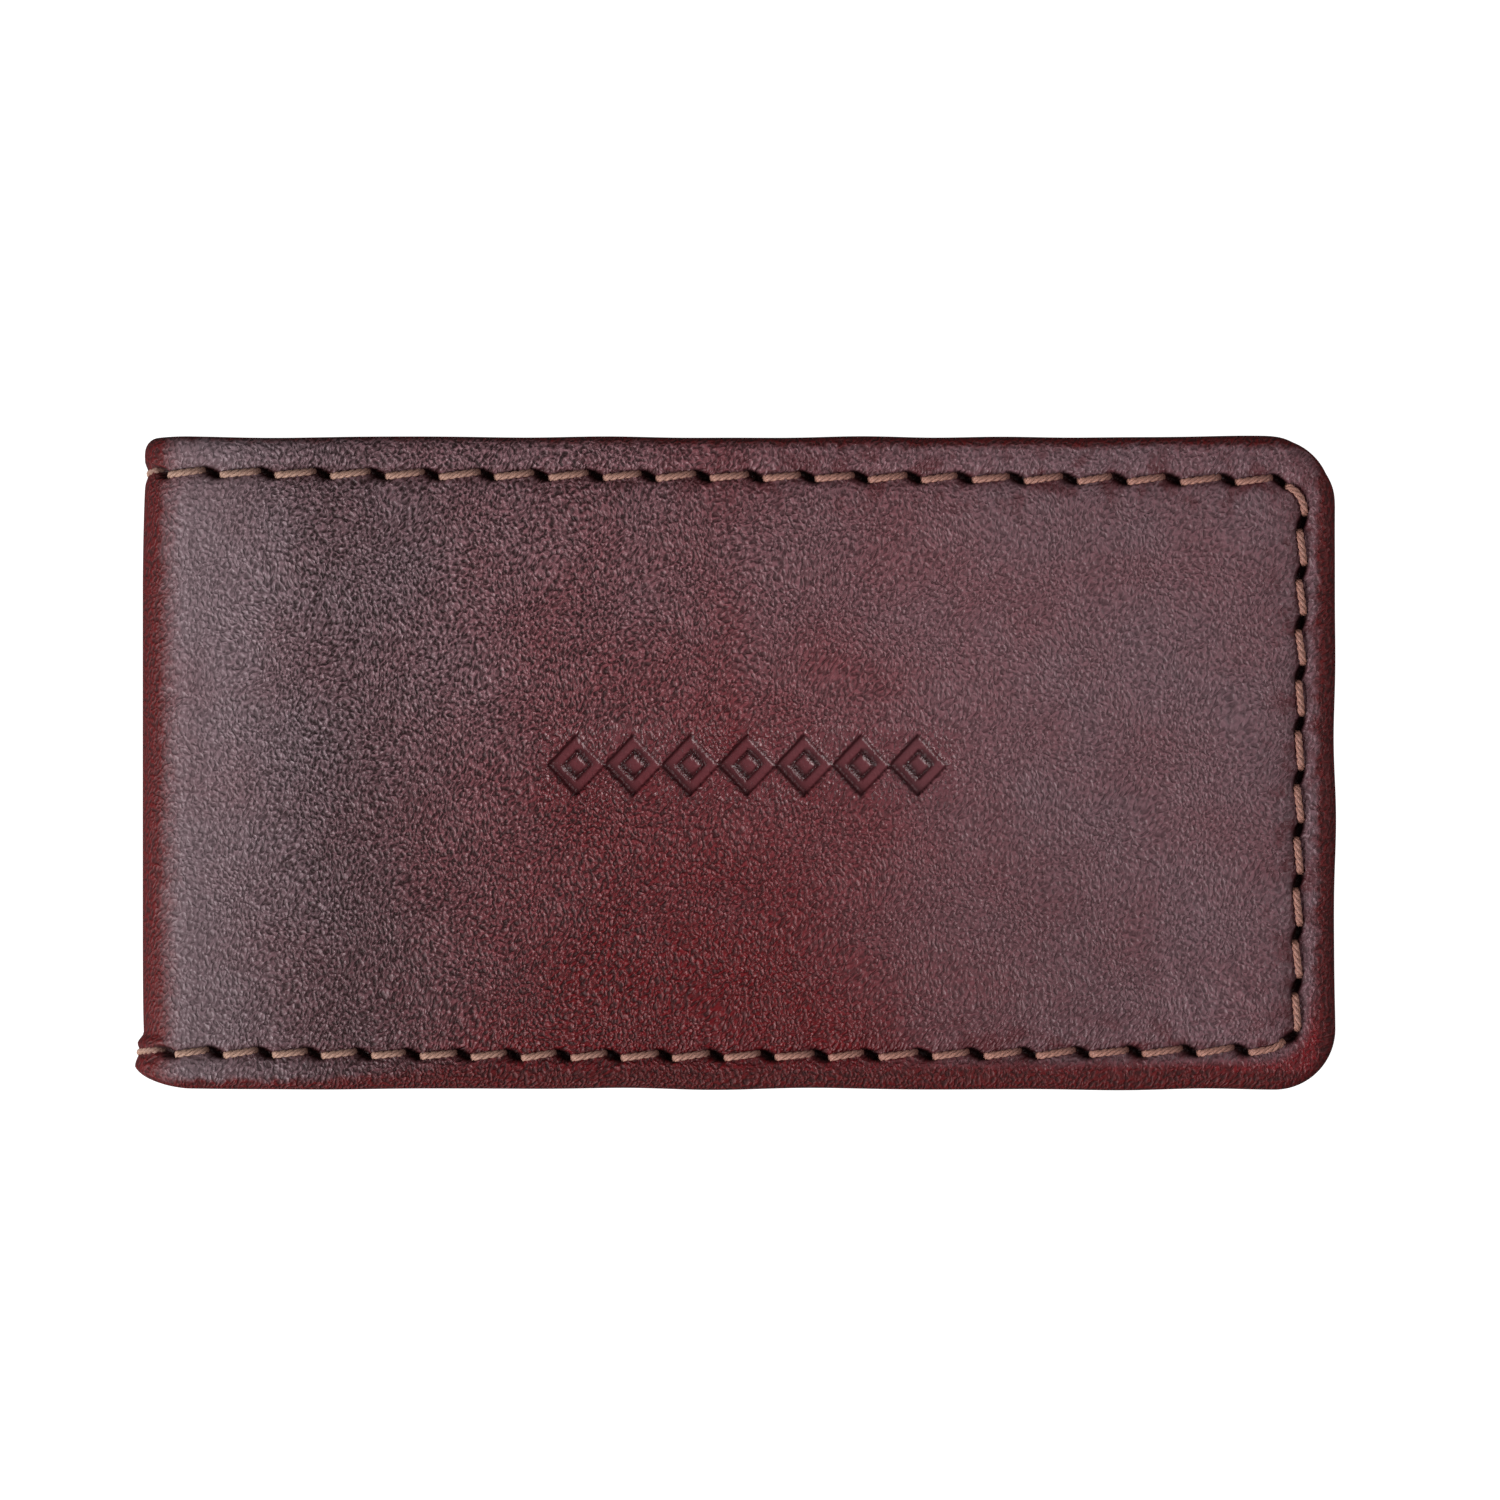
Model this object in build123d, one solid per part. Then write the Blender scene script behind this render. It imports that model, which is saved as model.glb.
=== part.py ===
"""Folding business card case in stitched leather.

Two padded covers joined by a soft leather spine. Each cover carries a card pocket on its inside and
two flat magnets near its free end, which hold the case shut. Millimetres, +Z up.

The case is closed and lies on its back cover. X runs from the spine (-X) to the free end (+X), Y runs
across it, and the origin is at the middle of the underside.
"""

from build123d import *
from math import cos, pi, radians, sin
import os

# Driving dimensions
LENGTH = 110.0  # spine to free end, over the thread on the spine
WIDTH = 60.2
CORNER_RADIUS = 5.6  # outer corners at the free end
LEATHER = 1.0  # outer leather
CORE = 1.0  # turned hem, stiffener board and spine reinforcement share this layer
LINING = 0.5
WELT = 0.6  # sets how far each pocket stands open
PANEL = 0.8  # pocket panel leather
PAD_RISE = 0.6  # how far the foam lifts the cover's leather above its stitched border
COVER_GAP = 0.4  # from each pocket panel to the plane where the covers meet
CARD = (88.9, 50.8)  # the card that the pockets are cut for

# Thread and stitches
THREAD = 0.6
THREAD_PROUD = 0.35  # how far the outer stitches stand above the leather
BOBBIN_PROUD = 0.25
STITCH_INSET = 3.6  # from the cover's edge to the stitch line
STITCH_CORNER = 2.6  # radius of the stitch line's corners
STITCHES = 53  # along the three sides of one cover
SPINE_STITCHES = 3  # over the spine, at each side
LEG_START = 0.25  # from a needle hole's centre to the thread that goes down it
HOLE_ROOM = 0.08  # clearance round the thread in its hole
LOCK_GAP = 0.1  # between needle and bobbin thread inside the layers

# Borders, measured in from the cover's edge
HEM_WIDTH = 7.0
HEM_EDGE = 0.9  # roundness of the turned edge
HEM_INNER_EDGE = 0.6
LINING_INSET = 1.2
PAD_INSET = 6.4
RISE_INSET = 5.3
RISE_SLOPE = 0.5
FIT = 0.15  # slack between glued layers that lie side by side
CARD_SLACK = 0.35  # beside and behind a card in its pocket

# Spine
SPLIT_GAP = 0.6  # between the spine's rigid stand-in and each cover
BOARD_TO_SPINE = 1.6
PAD_TO_SPINE = 3.2

# Pocket mouth and magnets
MOUTH_STITCH = 5  # the mouth is at this needle hole, counted from the spine
NOTCH_RADIUS = 9.0
MAGNET_RADIUS = 5.0
MAGNET_THICKNESS = 0.95
MAGNET_SEAT = 0.1  # radial slack in the board
MAGNET_FROM_END = 13.5
MAGNET_FROM_SIDE = 14.5

# Heights of the layers of the back cover, from its underside up
Z_LEATHER = PAD_RISE
Z_CORE = Z_LEATHER + LEATHER
Z_LINING = Z_CORE + CORE
Z_WELT = Z_LINING + LINING
Z_PANEL = Z_WELT + WELT
Z_INSIDE = Z_PANEL + PANEL
Z_MID = Z_INSIDE + COVER_GAP

# The spine is a half circle of leather round this centre line
SPINE_RADIUS = Z_MID - Z_LEATHER
SPINE_X = -LENGTH / 2 + THREAD_PROUD + SPINE_RADIUS
COVER_X = SPINE_X + SPLIT_GAP / 2
END_X = LENGTH / 2
HALF_WIDTH = WIDTH / 2


def plate(inset, bottom, top, start=COVER_X):
    """A flat layer of a cover: its outline set in from the three free edges, from height bottom to top."""
    end, side = END_X - inset, HALF_WIDTH - inset
    radius = max(CORNER_RADIUS - inset, 0.6)
    outline = Pos((start + end) / 2, 0, bottom) * Rectangle(end - start, 2 * side)
    layer = extrude(outline, top - bottom)
    upright = layer.edges().filter_by(Axis.Z).group_by(Axis.X)[-1]
    return fillet(upright, radius)


def block(low, high):
    """A box between two corners."""
    centre = [(a + b) / 2 for a, b in zip(low, high)]
    size = [b - a for a, b in zip(low, high)]
    return Pos(*centre) * Box(*size)


def flip(shape):
    """Turns a back cover piece over about the middle plane, which makes it the front cover's."""
    return Pos(0, 0, 2 * Z_MID) * Rot(180, 0, 0) * shape


def stitch_holes():
    """Centres of a cover's needle holes, evenly spaced along its stitch line from spine to spine."""
    side, end = HALF_WIDTH - STITCH_INSET, END_X - STITCH_INSET
    row = end - STITCH_CORNER - SPINE_X
    bend = STITCH_CORNER * pi / 2
    column = 2 * (side - STITCH_CORNER)
    total = 2 * row + 2 * bend + column
    holes = []
    for number in range(STITCHES + 1):
        # Both halves mirror each other, so only the first half is worked out.
        along = min(number, STITCHES - number) * total / STITCHES
        sign = 1 if number <= STITCHES / 2 else -1
        if along <= row:
            x, y = SPINE_X + along, side
        elif along <= row + bend:
            turn = (along - row) / STITCH_CORNER
            x = end - STITCH_CORNER + STITCH_CORNER * sin(turn)
            y = side - STITCH_CORNER + STITCH_CORNER * cos(turn)
        else:
            x, y = end, side - STITCH_CORNER - (along - row - bend)
        holes.append((x, sign * y))
    return holes


HOLES = stitch_holes()
MOUTH_X = HOLES[MOUTH_STITCH][0]


def along_stitch(start, end):
    """Location of a stitch: local X runs from one needle hole to the next. Also gives its length."""
    run = Vector(*end) - Vector(*start)
    middle = (Vector(*start) + Vector(*end)) / 2
    turn = Vector(1, 0).get_signed_angle(run, Vector(0, 0, 1))
    return Pos(middle.X, middle.Y, 0) * Rot(0, 0, turn), run.length


def staple(length, bar_low, bar_high, leg_low, leg_high):
    """One stitch: a bar along the surface and a leg down each needle hole."""
    reach = length / 2 - LEG_START
    half = THREAD / 2
    stitch = block((-reach, -half, bar_low), (reach, half, bar_high))
    for side in (-1, 1):
        outer, inner = side * reach, side * (reach - THREAD)
        stitch += block((min(outer, inner), -half, leg_low), (max(outer, inner), half, leg_high))
    return stitch


def hole_cutters():
    """Slits for the thread through all the layers of a cover, two legs to a needle hole."""
    cutters = []
    half = THREAD / 2 + HOLE_ROOM
    for start, end in zip(HOLES, HOLES[1:]):
        place, length = along_stitch(start, end)
        reach = length / 2 + 0.02
        depth = LEG_START + THREAD + HOLE_ROOM
        for side in (-1, 1):
            outer, inner = side * reach, side * (reach - depth)
            slit = block((min(outer, inner), -half, -1), (max(outer, inner), half, Z_MID))
            cutters.append(place * slit)
    return cutters


CUTTERS = hole_cutters()


def sewn(layer):
    """The layer with its needle holes."""
    return layer.cut(*CUTTERS)


def cover_leather():
    """Outer leather with its edges turned over: a flat border, a panel raised by the foam, a hem inside."""
    border = plate(0, Z_LEATHER, Z_CORE + CORE)
    free = border.edges().filter_by(Axis.Z, reverse=True)
    outside = [e for e in free.group_by(Axis.Z)[0] if e.center().X > COVER_X + 0.1]
    border = fillet(outside, HEM_EDGE)
    inside = border.edges().group_by(Axis.Z)[-1]
    border = fillet([e for e in inside if e.center().X > COVER_X + 0.1], HEM_INNER_EDGE)
    board_room = plate(HEM_WIDTH, Z_CORE, Z_LINING + 1, COVER_X - 1)
    raised = plate(RISE_INSET, 0, Z_LEATHER + LEATHER / 2, COVER_X + BOARD_TO_SPINE)
    raised = chamfer(raised.edges().group_by(Axis.Z)[0], RISE_SLOPE)
    pad_room = plate(PAD_INSET, LEATHER, Z_CORE + LEATHER / 2, COVER_X + PAD_TO_SPINE)
    return sewn(border - board_room + raised - pad_room)


def foam_pad():
    """Thin foam that lifts the leather inside the stitch line."""
    return plate(PAD_INSET + FIT, LEATHER, Z_CORE, COVER_X + PAD_TO_SPINE + FIT)


def magnet_places():
    """Centres of a cover's two magnets, upper then lower."""
    x, y = END_X - MAGNET_FROM_END, HALF_WIDTH - MAGNET_FROM_SIDE
    return [(x, y), (x, -y)]


def stiffener_board():
    """Board framed by the hem, with two holes for the magnets."""
    board = plate(HEM_WIDTH + FIT, Z_CORE, Z_LINING, COVER_X + BOARD_TO_SPINE)
    for x, y in magnet_places():
        board -= Pos(x, y, Z_CORE + CORE / 2) * Cylinder(MAGNET_RADIUS + MAGNET_SEAT, 2 * CORE)
    return board


def magnet(place):
    """Flat disc in the board."""
    return Pos(*place, Z_CORE + CORE / 2) * Cylinder(MAGNET_RADIUS, MAGNET_THICKNESS)


def lining():
    """Thin leather over the board and the hem."""
    return sewn(plate(LINING_INSET, Z_LINING, Z_WELT))


def welts():
    """Three strips in the seam that hold the pocket panel off the lining."""
    card_side = CARD[1] / 2 + CARD_SLACK
    card_end = END_X - STITCH_INSET - THREAD / 2 - CARD_SLACK
    sheet = plate(LINING_INSET, Z_WELT, Z_PANEL, MOUTH_X)
    upper = sheet & block((MOUTH_X, card_side, Z_WELT), (END_X, HALF_WIDTH, Z_PANEL))
    lower = sheet & block((MOUTH_X, -HALF_WIDTH, Z_WELT), (END_X, -card_side, Z_PANEL))
    end = sheet & block((card_end, -card_side, Z_WELT), (END_X, card_side, Z_PANEL))
    return {"upper": sewn(upper), "lower": sewn(lower), "end": sewn(end)}


def pocket_panel():
    """Front of the card pocket, with a thumb notch at its mouth."""
    panel = plate(LINING_INSET, Z_PANEL, Z_INSIDE, MOUTH_X)
    notch = Pos(MOUTH_X, 0, Z_PANEL) * Cylinder(NOTCH_RADIUS, 4 * PANEL)
    return sewn(panel - notch)


def needle_thread():
    """Stitches on the outside of a cover."""
    lock = (Z_LEATHER + Z_WELT - LOCK_GAP) / 2
    stitches = []
    for start, end in zip(HOLES, HOLES[1:]):
        place, length = along_stitch(start, end)
        stitches.append(place * staple(length, Z_LEATHER - THREAD_PROUD, Z_LEATHER, Z_LEATHER, lock))
    return Compound(children=stitches)


def bobbin_thread():
    """Stitches on the inside of a cover: on the lining near the spine, on the pocket panel beyond it."""
    lock = (Z_LEATHER + Z_WELT + LOCK_GAP) / 2
    stitches = []
    for number, (start, end) in enumerate(zip(HOLES, HOLES[1:])):
        place, length = along_stitch(start, end)
        in_pocket = MOUTH_STITCH <= number < STITCHES - MOUTH_STITCH
        surface = Z_INSIDE if in_pocket else Z_WELT
        stitches.append(place * staple(length, surface, surface + BOBBIN_PROUD, lock, surface))
    return Compound(children=stitches)


def spine_sector(outer, inner, half_width, first=0.0, last=180.0):
    """A piece of the half ring round the spine, between two radii and two angles from the back cover."""
    start, stop = radians(-90 - first), radians(-90 - last)
    middle = (start + stop) / 2

    def point(radius, angle):
        return radius * cos(angle), radius * sin(angle)

    edges = [
        ThreePointArc(point(outer, start), point(outer, middle), point(outer, stop)),
        Line(point(outer, stop), point(inner, stop)),
        ThreePointArc(point(inner, stop), point(inner, middle), point(inner, start)),
        Line(point(inner, start), point(outer, start)),
    ]
    section = Plane.XZ * make_face(edges)
    return Pos(SPINE_X, 0, Z_MID) * extrude(section, half_width, both=True)


def spine_trim(shape):
    """Cuts the half ring back from the covers, so that it turns clear of them."""
    far = 4 * SPINE_RADIUS
    near = SPINE_X - SPLIT_GAP / 2
    return shape - block((near, -WIDTH, -far), (near + far, WIDTH, far + Z_MID))


def spine_slits():
    """Slits in the spine for its thread, along its radii at each needle hole."""
    step = 180 / SPINE_STITCHES
    reach = 180 / pi * (LEG_START + THREAD + HOLE_ROOM) / SPINE_RADIUS
    slits = []
    for side in (-1, 1):
        place = Pos(0, side * (HALF_WIDTH - STITCH_INSET), 0)
        for number in range(SPINE_STITCHES + 1):
            hole = number * step
            slit = spine_sector(SPINE_RADIUS + 1, 1, THREAD / 2 + HOLE_ROOM, hole - reach, hole + reach)
            slits.append(place * slit)
    return slits


SPINE_SLITS = spine_slits()
CORE_RADIUS = SPINE_RADIUS - LEATHER
LINING_RADIUS = CORE_RADIUS - CORE
INNER_RADIUS = LINING_RADIUS - LINING


def spine_leather():
    """Outer leather round the spine, with its hem turned in at both ends."""
    ring = spine_sector(SPINE_RADIUS, LINING_RADIUS, HALF_WIDTH)
    rims = [e for e in ring.edges() if e.geom_type == GeomType.CIRCLE and e.radius > CORE_RADIUS]
    ring = fillet(rims, HEM_EDGE)
    middle = spine_sector(CORE_RADIUS, LINING_RADIUS - 1, HALF_WIDTH - HEM_WIDTH)
    return spine_trim(ring - middle).cut(*SPINE_SLITS)


def spine_reinforcement():
    """Strip that fills the spine between its hems."""
    return spine_trim(spine_sector(CORE_RADIUS, LINING_RADIUS, HALF_WIDTH - HEM_WIDTH - FIT))


def spine_lining():
    """Thin leather inside the spine."""
    layer = spine_sector(LINING_RADIUS, INNER_RADIUS, HALF_WIDTH - LINING_INSET)
    return spine_trim(layer).cut(*SPINE_SLITS)


def spine_thread(surface, top, lock):
    """Stitches over the spine at both sides: bars round the bend and legs along its radii."""
    step = 180 / SPINE_STITCHES
    clear = 180 / pi * LEG_START / SPINE_RADIUS
    leg = 180 / pi * THREAD / SPINE_RADIUS
    stitches = []
    for side in (-1, 1):
        place = Pos(0, side * (HALF_WIDTH - STITCH_INSET), 0)
        for number in range(SPINE_STITCHES):
            first, last = number * step + clear, (number + 1) * step - clear
            stitch = spine_sector(max(surface, top), min(surface, top), THREAD / 2, first, last)
            for start in (first, last - leg):
                outer, inner = max(surface, lock), min(surface, lock)
                stitch += spine_sector(outer, inner, THREAD / 2, start, start + leg)
            stitches.append(spine_trim(place * stitch))
    return Compound(children=stitches)


def cover_nodes(name, turn):
    """Every piece of one cover. turn moves a back cover piece to where this cover has it."""
    pieces = {
        "cover_leather": cover_leather(),
        "foam_pad": foam_pad(),
        "stiffener_board": stiffener_board(),
        "lining": lining(),
        "pocket_panel": pocket_panel(),
        "needle_thread": needle_thread(),
        "bobbin_thread": bobbin_thread(),
    }
    for place, piece in zip(("upper", "lower"), magnet_places()):
        pieces[f"{place}_magnet"] = magnet(piece)
    for place, piece in welts().items():
        pieces[f"pocket_welt_{place}"] = piece
    return {f"{name}_{node}": turn(piece) for node, piece in pieces.items()}


def main():
    spine_lock = (SPINE_RADIUS + INNER_RADIUS) / 2
    nodes = cover_nodes("back", lambda piece: piece)
    nodes |= cover_nodes("front", flip)
    nodes["spine_leather"] = spine_leather()
    nodes["spine_reinforcement"] = spine_reinforcement()
    nodes["spine_lining"] = spine_lining()
    nodes["spine_needle_thread"] = spine_thread(
        SPINE_RADIUS, SPINE_RADIUS + THREAD_PROUD, spine_lock + LOCK_GAP / 2
    )
    nodes["spine_bobbin_thread"] = spine_thread(
        INNER_RADIUS, INNER_RADIUS - BOBBIN_PROUD, spine_lock - LOCK_GAP / 2
    )
    os.makedirs("parts", exist_ok=True)
    for node, shape in nodes.items():
        export_step(shape, f"parts/{node}.step")


main()
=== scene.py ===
"""Looks of the folding leather business card case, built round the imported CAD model.

Leather is laid out as a flat sheet first. u runs along the sheet from the spine to the free end, y runs
across the case, and w is the height out from the plane where the two covers meet. bend() then wraps the
sheet round the spine. Lengths are in millimetres until make_mesh() scales them.
"""

import math

import bmesh
import bpy
import numpy as np
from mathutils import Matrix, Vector


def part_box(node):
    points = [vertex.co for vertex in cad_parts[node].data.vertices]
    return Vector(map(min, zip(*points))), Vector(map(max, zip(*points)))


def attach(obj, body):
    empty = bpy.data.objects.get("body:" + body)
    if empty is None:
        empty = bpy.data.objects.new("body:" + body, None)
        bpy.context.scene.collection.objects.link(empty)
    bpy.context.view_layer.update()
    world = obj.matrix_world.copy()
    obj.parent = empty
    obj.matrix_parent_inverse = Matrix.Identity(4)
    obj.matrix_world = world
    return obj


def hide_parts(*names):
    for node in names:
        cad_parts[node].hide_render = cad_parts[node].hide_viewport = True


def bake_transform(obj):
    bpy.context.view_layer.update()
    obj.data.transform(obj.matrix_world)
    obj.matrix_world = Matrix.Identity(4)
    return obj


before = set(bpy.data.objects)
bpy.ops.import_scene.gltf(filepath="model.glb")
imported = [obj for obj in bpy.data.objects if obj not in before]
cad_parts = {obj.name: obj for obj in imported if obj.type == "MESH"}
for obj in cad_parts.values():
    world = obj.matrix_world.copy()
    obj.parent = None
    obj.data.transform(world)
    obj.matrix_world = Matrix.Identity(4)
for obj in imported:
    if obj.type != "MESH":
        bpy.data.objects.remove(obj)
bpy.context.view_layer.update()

MM = 0.001

# ---------------------------------------------------------------- dimensions read from the frame


def cad_box(node):
    """Lowest and highest corner of a CAD node, in millimetres."""
    low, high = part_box(node)
    return np.array(low) / MM, np.array(high) / MM


COVER_HIGH = cad_box("front_cover_leather")[1]
LINING_LOW, LINING_HIGH = cad_box("front_lining")
PANEL_LOW, PANEL_HIGH = cad_box("front_pocket_panel")
END_U = COVER_HIGH[0]
HALF_WIDTH = COVER_HIGH[1]
MID_Z = COVER_HIGH[2] / 2
PAD_RISE = 0.6
FACE_W = MID_Z - PAD_RISE  # outside of the stitched border
HEM_W = LINING_HIGH[2] - MID_Z
LINING_W = LINING_LOW[2] - MID_Z
PANEL_W = PANEL_LOW[2] - MID_Z
WELT_W = PANEL_HIGH[2] - MID_Z
MOUTH_U = PANEL_LOW[0]
BEND_X = cad_box("spine_leather")[0][0] + FACE_W
APEX_U = BEND_X - FACE_W * math.pi / 2
CORNER_RADIUS = 5.6

# ---------------------------------------------------------------- stitch line

STITCH_INSET = 3.6
STITCH_CORNER = 2.6
PITCH = 4.817
HOLE_DRIFT = 2.5  # how far the holes run ahead of even spacing halfway along the path
HOLE_WOBBLE = 0.8  # and a smaller swing either side of that, in three half waves
HOLE_JITTER = 0.12
HOLE_SLANT = math.radians(24)
HOLE_LENGTH = 1.0
HOLE_WIDTH = 0.42
HOLE_DEPTH = 1.0
GROOVE_DEPTH = 0.32
GROOVE_WIDTH = 0.75
ROW_END = END_U - STITCH_INSET - STITCH_CORNER
COLUMN_END = HALF_WIDTH - STITCH_INSET - STITCH_CORNER
ROW_LENGTH = ROW_END - APEX_U
BEND_LENGTH = STITCH_CORNER * math.pi / 2
PATH_LENGTH = 2 * (ROW_LENGTH + BEND_LENGTH + COLUMN_END)
FIRST_HOLE = {"front": 3.4, "back": 1.42}  # from the apex of the fold, along the upper row
LAST_HOLE = {"front": 4.3, "back": 1.42}


def smooth(t):
    """Eases from 0 to 1 as t goes from 0 to 1."""
    t = np.clip(t, 0, 1)
    return t * t * (3 - 2 * t)


def row_wander(u, y):
    """How far the hand-guided rows run inside their nominal inset: the rows close in towards the free end."""
    along = (u - BEND_X) / (END_U - BEND_X)
    upper = -0.3 + 0.75 * along
    lower = -0.15 - 0.5 * np.sin(math.pi * np.clip(along, 0, 1)) + 0.35 * along
    return np.where(y > 0, upper, lower) * smooth((np.abs(y) - 10) / 12)


def column_wander(y):
    """How far the column of stitches at the free end leans over from its nominal inset."""
    return -0.27 - 0.011 * y


def stitch_coordinates(u, y):
    """Distance along the stitch path from the apex, and distance inward from it."""
    u_true = u + column_wander(y) * smooth((u - ROW_END + 14) / 12)
    across = np.abs(y) + row_wander(u, y)
    right, over = u_true - ROW_END, across - COLUMN_END
    outward = np.hypot(np.maximum(right, 0), np.maximum(over, 0)) + np.minimum(np.maximum(right, over), 0)
    inward = STITCH_CORNER - outward
    row = u_true - APEX_U
    turn = np.arctan2(np.maximum(right, 0), np.maximum(over, 1e-9))
    corner = ROW_LENGTH + STITCH_CORNER * turn
    column = ROW_LENGTH + BEND_LENGTH + COLUMN_END - across
    along = np.where((right > 0) & (over > 0), corner, np.where(over > right, row, column))
    return np.where(y > 0, along, PATH_LENGTH - along), inward


def stitch_point(along, inward):
    """Sheet position of a point on the stitch path, moved inward from it. The inverse of the above."""
    along, inward = np.broadcast_arrays(np.asarray(along, float), np.asarray(inward, float))
    upper = along <= PATH_LENGTH / 2
    s = np.where(upper, along, PATH_LENGTH - along)
    turn = np.clip((s - ROW_LENGTH) / STITCH_CORNER, 0, math.pi / 2)
    radius = STITCH_CORNER - inward
    u = APEX_U + np.minimum(s, ROW_LENGTH) + radius * np.sin(turn)
    past = np.maximum(s - ROW_LENGTH - BEND_LENGTH, 0)
    y = COLUMN_END - past + radius * np.cos(turn)
    sign = np.where(upper, 1, -1)
    y = y - row_wander(u, sign * y)
    u = u - column_wander(sign * y) * smooth((u - ROW_END + 14) / 12)
    return u, sign * y


def hole_positions(side):
    """Distances of the needle holes along the path. Hand-made stitches drift from even spacing."""
    first, last = FIRST_HOLE[side], PATH_LENGTH - LAST_HOLE[side]
    count = round((last - first) / PITCH)
    turn = np.linspace(0, math.pi, count + 1)
    drift = HOLE_DRIFT * np.sin(turn) + HOLE_WOBBLE * np.sin(3 * turn)
    jitter = np.random.default_rng(71).uniform(-HOLE_JITTER, HOLE_JITTER, count + 1)
    return np.linspace(first, last, count + 1) + drift + jitter * np.sin(turn)


def hole_phase(side, along):
    """Number of needle holes passed at a distance along the path: a whole number at each hole."""
    holes = hole_positions(side)
    beyond = 10  # evenly spaced steps before the first hole and after the last
    places = [holes[0] - beyond * PITCH, *holes, holes[-1] + beyond * PITCH]
    return np.interp(along, places, [-beyond, *range(len(holes)), len(holes) - 1 + beyond])


# ---------------------------------------------------------------- mesh helpers


def bend(u, y, w, side):
    """Wraps sheet points round the spine. u is measured along the sheet's outside, at FACE_W."""
    turn = np.maximum(BEND_X - u, 0) / FACE_W
    x = np.maximum(u, BEND_X) - w * np.sin(turn)
    rise = w * np.cos(turn)
    z = MID_Z + (rise if side == "front" else -rise)
    return np.stack([x, y, z], axis=-1)


def make_mesh(name, points, faces, maps=None, flip=False, closed=False):
    """A smooth mesh object. maps gives a 2-D value at each point for each named UV map."""
    mesh = bpy.data.meshes.new(name)
    faces = np.asarray(faces)
    if flip:
        faces = faces[:, ::-1]
    mesh.from_pydata((np.asarray(points) * MM).tolist(), [], faces.tolist())
    corners = np.zeros(len(mesh.loops), int)
    mesh.loops.foreach_get("vertex_index", corners)
    for key, values in (maps or {}).items():
        layer = mesh.uv_layers.new(name=key)
        layer.data.foreach_set("uv", np.asarray(values, float)[corners].ravel())
    if closed:
        solid = bmesh.new()
        solid.from_mesh(mesh)
        bmesh.ops.recalc_face_normals(solid, faces=solid.faces)
        solid.to_mesh(mesh)
        solid.free()
    mesh.shade_smooth()
    piece = bpy.data.objects.new(name, mesh)
    bpy.context.scene.collection.objects.link(piece)
    return piece


def grid_faces(rows, columns, start=0):
    """Quads of a grid of points numbered row by row."""
    number = start + np.arange(rows * columns).reshape(rows, columns)
    return np.stack([number[:-1, :-1], number[:-1, 1:], number[1:, 1:], number[1:, :-1]], -1).reshape(-1, 4)


def spaced(*stops):
    """Grid lines through alternating stops and spacings: spaced(0, 0.3, 10, 0.1, 12)."""
    lines = [np.array([stops[0]])]
    for low, step, high in zip(stops[0::2], stops[1::2], stops[2::2]):
        count = max(1, math.ceil((high - low) / step))
        lines.append(np.linspace(low, high, count + 1)[1:])
    return np.concatenate(lines)


def joined(parts):
    """Joins (points, faces, maps) parts into one."""
    points, faces, maps, start = [], [], {}, 0
    for part_points, part_faces, part_maps in parts:
        points.append(part_points)
        faces.append(part_faces + start)
        for key, values in part_maps.items():
            maps.setdefault(key, []).append(values)
        start += len(part_points)
    return np.concatenate(points), np.concatenate(faces), {k: np.concatenate(v) for k, v in maps.items()}


def noise_field(seed, size, count=40):
    """A smooth random field over the sheet, as a sum of seeded waves about size long."""
    random = np.random.default_rng(seed)
    angle = random.uniform(0, 2 * math.pi, count)
    wave = 2 * math.pi / (size * random.uniform(0.7, 1.6, count))
    phase = random.uniform(0, 2 * math.pi, count)

    def value(u, y):
        total = np.zeros(np.broadcast(u, y).shape)
        for a, k, p in zip(angle, wave, phase):
            total += np.sin(k * (u * math.cos(a) + y * math.sin(a)) + p)
        return total / math.sqrt(count / 2)

    return value


# ---------------------------------------------------------------- outer leather

EDGE_ROLL = 1.3  # width of the rounded edge
UPPER_TURN = np.linspace(0, math.pi / 2, 8)
LOWER_TURN = np.linspace(0.2, math.pi / 2, 6)
# Inset from the edge and height over the border, from the border round to the hem underneath.
EDGE_PROFILE = [(EDGE_ROLL * (1 - math.sin(a)), -1.15 * (1 - math.cos(a))) for a in UPPER_TURN]
EDGE_PROFILE += [(0.0, -1.35)]
EDGE_PROFILE += [(0.6 * (1 - math.cos(a)), -1.4 - 0.6 * math.sin(a)) for a in LOWER_TURN]
EDGE_PROFILE += [(1.6, HEM_W - FACE_W), (3.0, HEM_W - FACE_W)]
ORNAMENT_CENTRE = (0.75, -0.2)
LOZENGE_COUNT = 7
LOZENGE_WIDTH = 5.25
LOZENGE_HEIGHT = 5.6
LOZENGE_STROKE = 1.0
PIP_SIZE = 1.1
PRESS_WALL = 0.4  # width of the ornament's sloping walls
PRESS_MARGIN = 1.6  # leather drawn in round it
DEBOSS_DEPTH = 0.6
COVER_SEED = {"front": 1, "back": 2}


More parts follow.
